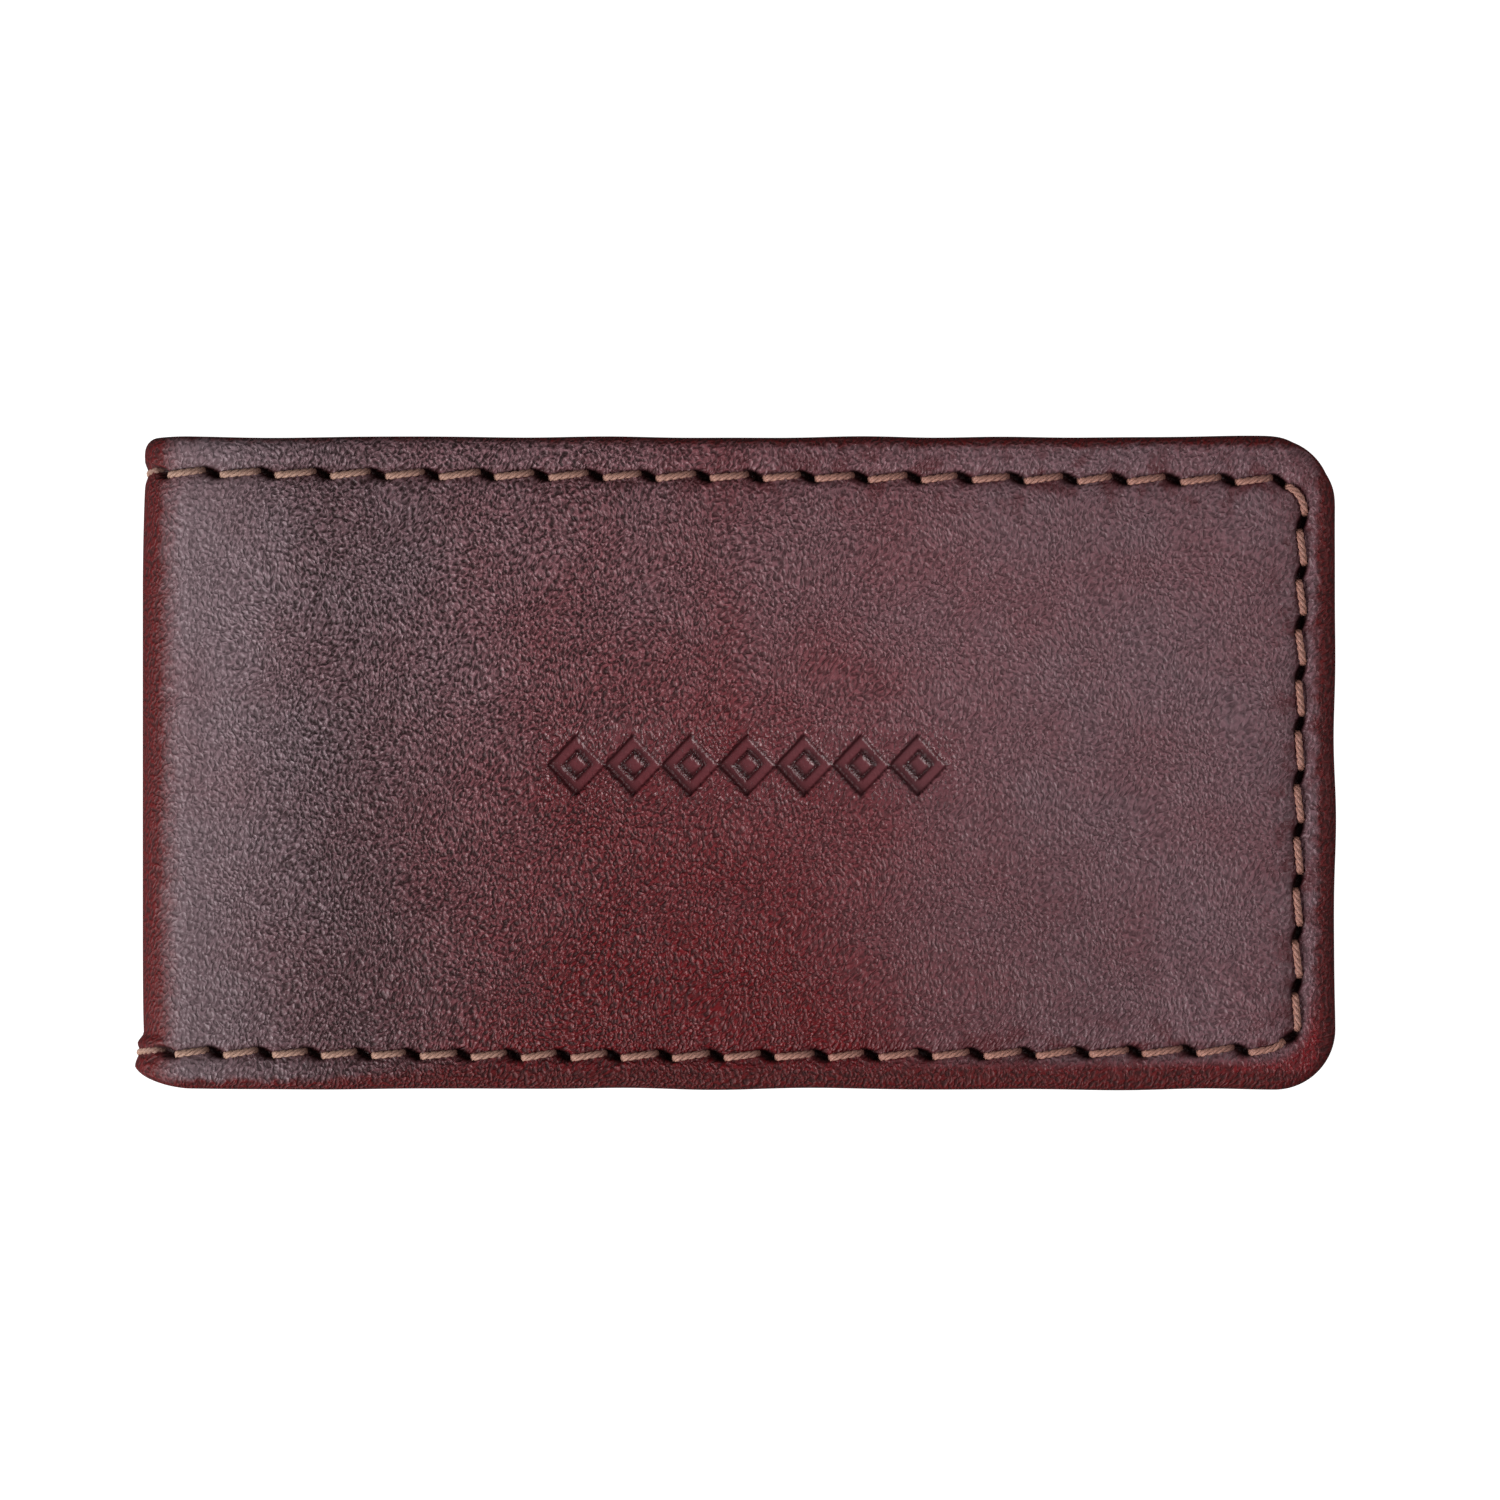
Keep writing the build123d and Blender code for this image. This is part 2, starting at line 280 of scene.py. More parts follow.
def round_corners(u, y, inset):
    """Pulls the corners of a grid in to the case's outline, set in by inset."""
    reach = 9.0
    end, side = END_U - inset, HALF_WIDTH - inset
    a = np.maximum(u - (end - reach), 0) / reach
    b = np.maximum(np.abs(y) - (side - reach), 0) / reach
    far = np.maximum(a, b)
    radius = (CORNER_RADIUS - inset) / reach
    length = np.hypot(a, b) + 1e-9
    cosine, sine = a / length, b / length
    square = 1 / np.maximum(np.maximum(cosine, sine), 1e-9)
    centre = 1 - radius
    along = centre * (cosine + sine)
    inside = along**2 - 2 * centre**2 + radius**2
    arc = along + np.sqrt(np.maximum(inside, 0))
    on_arc = (arc * cosine > centre) & (arc * sine > centre)
    rounded = np.where(on_arc, arc, square)
    scale = 1 + (rounded / square - 1) * far**3
    corner = (a > 0) & (b > 0)
    u_new = np.where(corner, (end - reach) + a * scale * reach, u)
    y_new = np.where(corner, np.sign(y) * ((side - reach) + b * scale * reach), y)
    return u_new, y_new


def ornament(u, y):
    """How deep the blind-pressed ornament is at a point, from 0 to 1: a chain of lozenges with pips."""
    x0, y0 = ORNAMENT_CENTRE
    x = (u - x0) / LOZENGE_WIDTH
    number = np.clip(np.round(x), -(LOZENGE_COUNT // 2), LOZENGE_COUNT // 2)
    x = np.abs(x - number) * LOZENGE_WIDTH
    v = np.abs(y - y0)
    half_width, half_height = LOZENGE_WIDTH / 2, LOZENGE_HEIGHT / 2
    normal = math.hypot(1 / half_width, 1 / half_height)
    rim = (x / half_width + v / half_height - 1) / normal
    ring = np.abs(rim + LOZENGE_STROKE / 2) - LOZENGE_STROKE / 2
    pip = (x + v - PIP_SIZE) / math.sqrt(2)
    distance = np.minimum(ring, pip)
    return smooth(0.5 - distance / PRESS_WALL)


def near_ornament(u, y):
    """1 over the pressed area, falling to 0 just outside it."""
    x0, y0 = ORNAMENT_CENTRE
    across = np.abs(u - x0) - LOZENGE_COUNT * LOZENGE_WIDTH / 2
    over = np.abs(y - y0) - LOZENGE_HEIGHT / 2
    outside = np.hypot(np.maximum(across, 0), np.maximum(over, 0))
    return 1 - smooth(outside / PRESS_MARGIN)


def hole_shape(side, along, inward):
    """Depth from 0 to 1 of the nearest needle hole, and of the raised lip round it."""
    holes = hole_positions(side)
    nearest = np.clip(np.round(hole_phase(side, along)), 0, len(holes) - 1).astype(int)
    forward = along - holes[nearest]
    cosine, sine = math.cos(HOLE_SLANT), math.sin(HOLE_SLANT)
    long = (forward * cosine + inward * sine) / HOLE_LENGTH
    short = (inward * cosine - forward * sine) / HOLE_WIDTH
    radius = np.hypot(long, short)
    return 1 - smooth((radius - 0.55) / 0.75), np.exp(-(((radius - 1.65) / 0.5) ** 2))


def fold_swell(u, y):
    """How far the fold stands out: full at the lower margin, drawn in a little towards the top."""
    turn = smooth(1 - (u - APEX_U) / 8.0)
    lower_margin = smooth((-y - HALF_WIDTH + STITCH_INSET + 1.6) / 1.2)
    upper = smooth((y - 16) / 14)
    return turn * (0.45 + 0.8 * lower_margin - 0.15 * upper)


def fold_corner(u):
    """1 at the fold and 0 away from it, along a quarter ellipse: the lower margin is rounded off there."""
    arm = FACE_W + 1.0
    from_fold = arm * (1 - np.cos(np.minimum((u - APEX_U) / arm, 1.5)))
    return 1 - np.sqrt(1 - (1 - np.clip(from_fold / 3.3, 0, 1)) ** 2)


def outer_height(side, u, y):
    """Height of the outer leather over the flat border."""
    along, inward = stitch_coordinates(u, y)
    from_fold = u - APEX_U
    settle = smooth((from_fold - 0.5) / 5)
    pad = smooth((u - BEND_X + 3.0) / 17)
    crown = 1 - np.exp(-np.maximum(inward - 0.35, 0) / 2.6)
    height = (0.16 + (PAD_RISE - 0.16) * pad) * crown
    height += 0.10 * np.exp(-(((inward + 1.5) / 0.9) ** 2))
    height -= GROOVE_DEPTH * np.exp(-((inward / GROOVE_WIDTH) ** 2))
    hole, lip = hole_shape(side, along, inward)
    height += 0.07 * lip
    beat = np.cos(2 * math.pi * hole_phase(side, along))
    height -= 0.07 * beat * np.exp(-np.abs(inward) / 1.1)
    seed = COVER_SEED[side]
    ripple = noise_field(10 + seed, 2.2)(along, inward * 0.22)
    fading = np.exp(-np.maximum(inward - 0.5, 0) / 3.2) * smooth((inward - 0.2) / 1.0)
    height += 0.028 * ripple * fading * settle
    height += 0.05 * noise_field(20 + seed, 26)(u, y) * crown * settle
    height += 0.014 * noise_field(30 + seed, 6)(u, y) * crown * settle
    if side == "front":
        height -= 0.10 * near_ornament(u, y) + DEBOSS_DEPTH * ornament(u, y)
        crease = noise_field(41, 1.5)(u * 0.85 + y * 0.5, (y * 0.85 - u * 0.5) * 0.12)
        patch = np.exp(-(((u - 43.5) / 5) ** 2 + ((y + 21.5) / 3.2) ** 2))
        height += 0.09 * crease * patch
    height += fold_swell(u, y)
    if side == "back":
        height = np.minimum(height, PAD_RISE)  # flat where the case lies on it
    return height - HOLE_DEPTH * hole, along, inward


def outer_leather(side):
    """Leather of one cover and of its half of the spine, with its edges turned over."""
    fine_u, fine_y = (0.175, 0.16) if side == "front" else (0.42, 0.42)
    near, far = ORNAMENT_CENTRE[0] - 19.2, ORNAMENT_CENTRE[0] + 19.2
    edge_u, edge_y = END_U - EDGE_ROLL, HALF_WIDTH - EDGE_ROLL
    us = spaced(APEX_U, 0.34, near, fine_u, far, 0.36, END_U - 6, 0.24, edge_u)
    ys = spaced(-edge_y, 0.25, -edge_y + 4.4, 0.42, -3.5, fine_y, 3.2, 0.42, edge_y - 4.4, 0.25, edge_y)
    u, y = np.meshgrid(us, ys)
    u, y = round_corners(u, y, EDGE_ROLL)
    y = y + 0.8 * fold_corner(u) * np.clip((3.2 - HALF_WIDTH - y) / (3.2 - EDGE_ROLL), 0, 1)
    height, along, inward = outer_height(side, u, y)
    if side == "front":
        # Use has pushed in the upper free corner.
        from_corner = np.hypot(END_U - 1.6 - u, HALF_WIDTH - 1.6 - y)
        pushed = 0.45 * smooth(1 - from_corner / 5)
        u, y = u - pushed, y - pushed
    rows, columns = u.shape
    top = bend(u, y, FACE_W + height, side).reshape(-1, 3)
    flat = lambda *values: np.stack([v.ravel() for v in values], -1)
    maps = {"sheet": flat(u, y), "stitch": flat(hole_phase(side, along), inward)}
    maps["press"] = flat(ornament(u, y), near_ornament(u, y)) * (side == "front")
    parts = [(top, grid_faces(rows, columns), maps)]
    # The rounded edge and the hem follow the three free sides as strips.
    number = np.arange(rows * columns).reshape(rows, columns)
    rim = np.concatenate([number[0, :], number[1:, -1], number[-1, -2::-1]])
    rim_u, rim_y, rim_h = u.ravel()[rim], y.ravel()[rim], height.ravel()[rim]
    rim_s, rim_d = along.ravel()[rim], inward.ravel()[rim]
    core_u = np.maximum(rim_u - (END_U - CORNER_RADIUS), 0)
    core_y = np.maximum(np.abs(rim_y) - (HALF_WIDTH - CORNER_RADIUS), 0) * np.sign(rim_y)
    length = np.hypot(core_u, core_y)
    out_u, out_y = core_u / length, core_y / length
    wobble = 0.05 * noise_field(50 + COVER_SEED[side], 14)(rim_s, 0 * rim_s)
    wobble *= smooth((rim_u - APEX_U) / 6)
    strips, sheet, stitch, travelled = [], [], [], 0.0
    for step_number, (inset, drop) in enumerate(EDGE_PROFILE):
        if step_number:
            before = EDGE_PROFILE[step_number - 1]
            travelled += math.hypot(inset - before[0], drop - before[1])
        share = 1 - step_number / (len(EDGE_PROFILE) - 1)
        out = EDGE_ROLL - inset + wobble * min(1, step_number / 4)
        out = out * (1 - 0.4 * fold_corner(rim_u) * (rim_y < 0))
        w = FACE_W + drop + rim_h * share
        strips.append(bend(rim_u + out_u * out, rim_y + out_y * out, w, side))
        sheet.append(np.stack([rim_u + out_u * travelled, rim_y + out_y * travelled], -1))
        stitch.append(np.stack([hole_phase(side, rim_s), rim_d - travelled], -1))
    edge = np.concatenate(strips)
    edge_faces = grid_faces(len(EDGE_PROFILE), len(rim))[:, ::-1]
    edge_maps = {"sheet": np.concatenate(sheet), "stitch": np.concatenate(stitch)}
    edge_maps["press"] = np.zeros((len(edge), 2))
    parts.append((edge, edge_faces, edge_maps))
    points, faces, maps = joined(parts)
    # The first strip repeats the rim's points, so it is welded to them.
    first = rows * columns
    weld = np.arange(len(points))
    weld[first:first + len(rim)] = rim
    faces = weld[faces]
    used = np.unique(faces)
    renumber = np.zeros(len(points), int)
    renumber[used] = np.arange(len(used))
    maps = {key: values[used] for key, values in maps.items()}
    return make_mesh(f"{side}_outer_leather", points[used], renumber[faces], maps, flip=side == "back")


# ---------------------------------------------------------------- thread

PLIES = 3
PLY_RADIUS = 0.2
PLY_OFFSET = 0.155
PLY_TURN = 2.2  # length of one twist
PLY_SIDES = 7
STITCH_STEPS = 27
STITCH_LEAN = (0.24, 0.06)  # sideways at each end of a stitch, and how far it varies
STITCH_TUCK = (0.62, 0.05)  # from a hole's middle to the end of the stitch, likewise


def thread_tubes(centre, across, up, arc, seed, tint_and_shade):
    """Twisted plies along a centre line. across and up are unit vectors at each point of it."""
    parts = []
    sides = PLY_SIDES
    around = np.linspace(0, 2 * math.pi, sides, endpoint=False)
    start = np.random.default_rng(seed).uniform(0, 2 * math.pi)
    for ply in range(PLIES):
        turn = start + 2 * math.pi * (ply / PLIES + arc / PLY_TURN)
        middle = centre + PLY_OFFSET * (np.cos(turn)[:, None] * across + np.sin(turn)[:, None] * up)
        ring = np.cos(around)[None, :, None] * across[:, None] + np.sin(around)[None, :, None] * up[:, None]
        points = (middle[:, None] + PLY_RADIUS * ring).reshape(-1, 3)
        number = np.arange(len(centre) * sides).reshape(len(centre), sides)
        after = np.roll(number, -1, axis=1)
        faces = np.stack([number[:-1], number[1:], after[1:], after[:-1]], -1).reshape(-1, 4)
        run = np.repeat(arc, sides)
        maps = {"thread": np.stack([run / PLY_TURN, np.tile(around / (2 * math.pi), len(centre))], -1)}
        maps["tint_and_shade"] = np.repeat(tint_and_shade, sides, axis=0)
        parts.append((points, faces, maps))
    return parts


def inner_surface(u):
    """Height of the surface under the inside stitches: the lining, then the pocket panel past its mouth."""
    return LINING_W + (PANEL_W - LINING_W) * smooth((u - MOUTH_U + 0.9) / 0.8)


def stitch_centre(start, end, t, random):
    """Path coordinates and height of one stitch, from the hole at start to the hole at end."""
    length = end - start
    lean = STITCH_LEAN[0] + random.uniform(-STITCH_LEAN[1], STITCH_LEAN[1])
    tuck = STITCH_TUCK[0] + random.uniform(-STITCH_TUCK[1], STITCH_TUCK[1])
    along = start + tuck + (length - 2 * tuck) * t
    inward = lean * (1 - 2 * t)
    edge = np.abs(2 * t - 1)
    height = 0.02 - 0.10 * edge**2 - 1.05 * edge**9
    return along, inward, height


def stitches(side, inside=False):
    """All the stitches on one face of a cover. Those that cross the fold end at its apex."""
    holes = hole_positions(side)
    other = "back" if side == "front" else "front"
    spans = [(-FIRST_HOLE[other], holes[0]), *zip(holes, holes[1:])]
    spans.append((holes[-1], PATH_LENGTH + LAST_HOLE[other]))
    parts = []
    for number, (start, end) in enumerate(spans):
        seed = (500 if inside else 100) + number

        def place(t, aside=0.0, above=0.0):
            along, inward, height = stitch_centre(start, end, t, np.random.default_rng(seed))
            u, y = stitch_point(along, inward + aside)
            # Each stitch was pulled down at its end nearer the free end of the case.
            in_row = np.abs(along - PATH_LENGTH / 2) > PATH_LENGTH / 2 - ROW_LENGTH
            pulled = np.where(in_row, np.where(along < PATH_LENGTH / 2, t, 1 - t), 0.45)
            if inside:
                w = inner_surface(u) - 0.75 * (height + above)
            else:
                height = height - 0.2 * pulled**2 - 0.4 * smooth(1 - (u - APEX_U) / 5)
                w = FACE_W + height + above + fold_swell(u, y)
            # u and pulled also go to the thread's colour: a tint along the case, and painted shade at the
            # pulled end.
            return along, bend(u, y, w, side), np.stack([u, pulled], -1)

        t = (1 - np.cos(np.linspace(0, math.pi, STITCH_STEPS))) / 2
        along = place(t)[0]
        kept = (along >= 0) & (along <= PATH_LENGTH)
        if not kept.all():  # clipped at the apex, where the other cover's half takes over
            cut = np.interp(0.0 if along[0] < 0 else PATH_LENGTH, along, t)
            t = np.sort(np.append(t[kept], cut))
        _, centre, tint_and_shade = place(t)
        across = place(t, aside=0.05)[1] - centre
        up = place(t, above=0.05)[1] - centre
        across /= np.linalg.norm(across, axis=1)[:, None]
        up /= np.linalg.norm(up, axis=1)[:, None]
        arc = np.concatenate([[0], np.cumsum(np.linalg.norm(np.diff(centre, axis=0), axis=1))])
        parts += thread_tubes(centre, across, up, arc, seed + 200, tint_and_shade)
    points, faces, maps = joined(parts)
    return make_mesh(f"{side}_{'bobbin' if inside else 'needle'}_stitches", points, faces, maps)


# ---------------------------------------------------------------- inside layers

SLAB_INSET = 1.2  # lining and pocket panel, from the cover's edge
RIM_STEPS = 8  # points across a layer's rounded edge
NOTCH_RADIUS = 9.0
NOTCH_ROUNDING = 1.2


def slab(name, u, y, side, near, far, relief, roll):
    """A closed sheet with rounded edges. near is the height of the face that shows, which relief lowers."""
    rows, columns = u.shape
    number = np.arange(rows * columns).reshape(rows, columns)
    loop = np.concatenate([number[0, :-1], number[:-1, -1], number[-1, :0:-1], number[:0:-1, 0]])
    along, inward = stitch_coordinates(u, y)
    phase = hole_phase(side, along)
    flat = lambda *values: np.stack([v.ravel() for v in values], -1)
    toward = math.copysign(1, far - near)
    points = [bend(u, y, near + toward * relief, side).reshape(-1, 3)]
    sheet, stitch = [flat(u, y)], [flat(phase, inward)]
    rim_u, rim_y, rim_stitch = u.ravel()[loop], y.ravel()[loop], stitch[0][loop]
    rim_relief = (relief + 0 * u).ravel()[loop]
    run_u, run_y = np.roll(rim_u, -1) - np.roll(rim_u, 1), np.roll(rim_y, -1) - np.roll(rim_y, 1)
    run = np.hypot(run_u, run_y)
    rings = [loop]
    start = rows * columns
    for turn in np.linspace(0, math.pi, RIM_STEPS)[1:-1]:
        out, share = roll * math.sin(turn) ** 0.7, (1 - math.cos(turn)) / 2
        edge_u, edge_y = rim_u + out * run_y / run, rim_y - out * run_u / run
        w = near + toward * rim_relief * (1 - share) + (far - near) * share
        points.append(bend(edge_u, edge_y, w, side))
        sheet.append(np.stack([edge_u, edge_y], -1))
        stitch.append(rim_stitch - np.array([0, out]))
        rings.append(start + np.arange(len(loop)))
        start += len(loop)
    points.append(bend(u, y, far + 0 * u, side).reshape(-1, 3))
    sheet.append(sheet[0])
    stitch.append(stitch[0])
    rings.append(start + loop)
    faces = [grid_faces(rows, columns), grid_faces(rows, columns, start)[:, ::-1]]
    for ring, after in zip(rings, rings[1:]):
        faces.append(np.stack([ring, after, np.roll(after, -1), np.roll(ring, -1)], -1))
    maps = {"sheet": np.concatenate(sheet), "stitch": np.concatenate(stitch)}
    return make_mesh(name, np.concatenate(points), np.concatenate(faces), maps, closed=True)


def sewn_relief(u, y, seed):
    """How far the thread pulls a thin layer in along the stitch line, with a gentle unevenness elsewhere."""
    inward = stitch_coordinates(u, y)[1]
    return 0.16 * np.exp(-((inward / 0.8) ** 2)) + 0.03 * noise_field(seed, 12)(u, y)


def lining(side):
    """Lining of one cover and of its half of the spine."""
    roll = 0.22
    end, edge = END_U - SLAB_INSET - roll, HALF_WIDTH - SLAB_INSET - roll
    us = spaced(APEX_U, 0.3, BEND_X + 1, 0.6, MOUTH_U + 14, 1.2, END_U - 8, 0.6, end)
    ys = spaced(-edge, 0.3, -edge + 4, 1.0, edge - 4, 0.3, edge)
    u, y = round_corners(*np.meshgrid(us, ys), SLAB_INSET + roll)
    # Soft creases run along the fold, where the lining is crowded on the inside of the bend.
    crease = 0.05 * noise_field(61, 1.1)(u, y * 0.06) * smooth((-u - 45.0) / 4)
    return slab(f"{side}_lining_sheet", u, y, side, LINING_W, HEM_W, sewn_relief(u, y, 62) + crease, roll)


def pocket_panel(side):
    """Pocket front with a rounded thumb notch and a creased line beside its turned mouth."""
    roll = 0.36
    end, edge = END_U - SLAB_INSET - roll, HALF_WIDTH - SLAB_INSET - roll
    us = spaced(MOUTH_U + roll, 0.16, MOUTH_U + 3, 0.6, END_U - 8, 0.3, end)
    ys = spaced(-edge, 0.3, -edge + 4, 0.7, -11, 0.2, -7.5, 0.45, 7.5, 0.2, 11, 0.7, edge - 4, 0.3, edge)
    u, y = round_corners(*np.meshgrid(us, ys), SLAB_INSET + roll)
    # The notch pushes the grid lines back from the mouth.
    radius, rounding = NOTCH_RADIUS + roll, NOTCH_ROUNDING - roll
    centre_y = math.sqrt((radius + rounding) ** 2 - rounding**2)
    shoulder = centre_y * radius / (radius + rounding)
    across = np.abs(y)
    arc = np.sqrt(np.maximum(radius**2 - across**2, 0))
    corner = rounding - np.sqrt(np.maximum(rounding**2 - (across - centre_y) ** 2, 0))
    notch = np.where(across < shoulder, arc, np.where(across < centre_y, corner, 0))
    from_mouth = u - MOUTH_U - roll
    u = u + notch * (1 - np.clip(from_mouth / (END_U - 4 - MOUTH_U), 0, 1)) ** 2
    crease = 0.12 * np.exp(-(((from_mouth - 1.5) / 0.28) ** 2))
    relief = sewn_relief(u, y, 63) + crease
    return slab(f"{side}_pocket_front", u, y, side, PANEL_W, WELT_W, relief, roll)


def foam_pad(side):
    """Foam under the leather: a closed pad, crowned in the middle and drawn in at its edges."""
    low, high = cad_box(f"{side}_foam_pad")
    roll = 0.28
    u, y = np.meshgrid(spaced(low[0] + roll, 1.2, high[0] - roll), spaced(low[1] + roll, 1.2, high[1] - roll))
    from_edge = np.minimum(np.minimum(u - low[0], high[0] - u), np.minimum(y - low[1], high[1] - y))
    relief = 0.3 * np.exp(-from_edge / 3.0)
    top, bottom = FACE_W - 0.4, FACE_W - 1.0
    return slab(f"{side}_foam_filling", u, y, side, top, bottom, relief, roll)


def spine_stiffener(side):
    """Half of the strip between the spine's leather and its lining."""
    edge = cad_box("spine_reinforcement")[1][1] - 0.2
    u, y = np.meshgrid(spaced(APEX_U, 0.5, BEND_X - 0.3), spaced(-edge, 1.5, edge))
    return slab(f"{side}_spine_stiffener", u, y, side, HEM_W + 0.1, FACE_W - 1.1, 0.0, 0.1)


# ---------------------------------------------------------------- materials


class Shader:
    """Builds a node tree with one short call a node."""

    def __init__(self, name):
        self.material = bpy.data.materials.new(name)
        self.material.use_nodes = True
        self.tree = self.material.node_tree
        self.surface = self.tree.nodes["Principled BSDF"]

    def link(self, value, socket):
        if isinstance(value, bpy.types.NodeSocket):
            self.tree.links.new(value, socket)
        elif value is not None:
            socket.default_value = value

    def node(self, kind, inputs=(), output=0, **settings):
        made = self.tree.nodes.new(kind)
        for key, value in settings.items():
            setattr(made, key, value)
        items = inputs.items() if isinstance(inputs, dict) else enumerate(inputs)
        for key, value in items:
            self.link(value, made.inputs[key])
        return made.outputs[output]

    def math(self, operation, *values, clamp=False):
        return self.node("ShaderNodeMath", values, operation=operation, use_clamp=clamp)

    def vector(self, operation, *values):
        return self.node("ShaderNodeVectorMath", values, operation=operation)

    def scaled(self, vector, factor):
        made = self.tree.nodes.new("ShaderNodeVectorMath")
        made.operation = "SCALE"
        self.link(vector, made.inputs[0])
        self.link(factor, made.inputs["Scale"])
        return made.outputs[0]

    def uv(self, name):
        return self.node("ShaderNodeUVMap", uv_map=name)

    def split(self, vector):
        made = self.tree.nodes.new("ShaderNodeSeparateXYZ")
        self.link(vector, made.inputs[0])
        return made.outputs

    def range(self, value, low, high, to_low=0.0, to_high=1.0, interpolation="LINEAR"):
        made = self.tree.nodes.new("ShaderNodeMapRange")
        made.interpolation_type = interpolation
        for socket, number in zip(made.inputs[:5], (value, low, high, to_low, to_high)):
            self.link(number, socket)
        return made.outputs[0]

    def mix(self, factor, first, second):
        made = self.tree.nodes.new("ShaderNodeMix")
        made.data_type = "RGBA"
        self.link(factor, made.inputs["Factor"])
        self.link(first, made.inputs["A"])
        self.link(second, made.inputs["B"])
        return made.outputs["Result"]

    def noise(self, vector, scale, detail=2.0, roughness=0.5, output="Fac"):
        inputs = {"Vector": vector, "Scale": scale, "Detail": detail, "Roughness": roughness}
        return self.node("ShaderNodeTexNoise", inputs, output, noise_dimensions="2D")

    def warped(self, vector, scale, amount, detail):
        colour = self.noise(vector, scale, detail, output="Color")
        shift = self.vector("SUBTRACT", colour, (0.5, 0.5, 0.5))
        return self.vector("ADD", vector, self.scaled(shift, amount))

    def drawn(self, vector, degrees, stretch):
        """Coordinates in which a pattern comes out drawn out along y turned by degrees."""
        inputs = {"Vector": vector, "Rotation": (0, 0, math.radians(degrees)), "Scale": (1.0, stretch, 1.0)}
        return self.node("ShaderNodeMapping", inputs, vector_type="TEXTURE")

    def ridges(self, vector, scale, sharpness):
        """Thin crooked lines: 1 on them, falling to 0 beside them."""
        level = self.math("ABSOLUTE", self.math("SUBTRACT", self.noise(vector, scale, 1.0), 0.5))
        return self.math("SUBTRACT", 1.0, self.math("MULTIPLY", level, sharpness), clamp=True)

    def bump(self, height, strength, distance):
        """distance is the full height of the bump, in metres."""
        return self.node("ShaderNodeBump", {"Height": height, "Strength": strength, "Distance": distance})

    def finish(self, **sockets):
        for key, value in sockets.items():
            self.link(value, self.surface.inputs[key.replace("_", " ")])
        return self.material


def srgb(red, green, blue):
    """Linear colour of an 8-bit sRGB one."""
    return (*(((c / 255 + 0.055) / 1.055) ** 2.4 for c in (red, green, blue)), 1.0)


def leather_grain(shader, sheet, scale=1.3):
    """Height of the grain, about 0.2 to 0.9: dark pits in a net of ridges, drawn out along a slant."""
    drifting = shader.warped(sheet, 0.12, 2.0, 1.0)
    curling = shader.warped(drifting, 1.5, 0.35, 1.0)
    swells = shader.noise(shader.drawn(curling, -25, 1.4), 2.4 * scale, 0.0)
    pit_inputs = {"Vector": shader.drawn(curling, -25, 1.3), "Scale": 2.5 * scale}
    pits = shader.node("ShaderNodeTexVoronoi", pit_inputs, "Distance", voronoi_dimensions="2D")
    creases = shader.ridges(shader.drawn(curling, -22, 2.6), 1.0, 7.0)
    swells = shader.range(swells, 0.28, 0.66, 0.0, 0.5, "SMOOTHSTEP")
    net = shader.math("MULTIPLY_ADD", pits, 0.6, swells)
    return shader.math("MULTIPLY_ADD", creases, 0.15, net)


def oxblood_share(shader, sheet, u, y):
    """Where the leather is left red rather than given the grey mauve of wear and painted sheen: a broad patch
    in the lower middle.
    """
    across = shader.math("DIVIDE", shader.math("ABSOLUTE", shader.math("ADD", u, 6.0)), 27.0)
    patch = shader.math("POWER", math.e, shader.math("MULTIPLY", shader.math("POWER", across, 2.7), -1.0))
    patch = shader.math("MULTIPLY", patch, shader.range(y, 20.0, -26.0, 0.42, 1.05))
    cloud = shader.range(shader.noise(sheet, 0.09, 3.0, 0.55), 0.3, 0.7, -0.1, 0.1)
    share = shader.math("ADD", patch, shader.range(u, -42.0, 50.0, 0.0, 0.16))
    return shader.math("ADD", share, cloud, clamp=True)


def needle_hole(shader, phase, inward):
    """1 inside a needle hole, which is a slanted slit."""
    cell = shader.math("SUBTRACT", shader.math("FRACT", shader.math("ADD", phase, 0.5)), 0.5)
    forward = shader.math("MULTIPLY", cell, PITCH)
    cosine, sine = math.cos(HOLE_SLANT), math.sin(HOLE_SLANT)
    times = lambda value, factor: shader.math("MULTIPLY", value, factor)
    long = shader.math("ADD", times(forward, cosine), times(inward, sine))
    short = shader.math("SUBTRACT", times(inward, cosine), times(forward, sine))
    long = shader.math("POWER", shader.math("DIVIDE", long, HOLE_LENGTH * 1.15), 2.0)
    short = shader.math("POWER", shader.math("DIVIDE", short, HOLE_WIDTH * 1.1), 2.0)
    return shader.range(shader.math("SQRT", shader.math("ADD", long, short)), 1.25, 0.7)


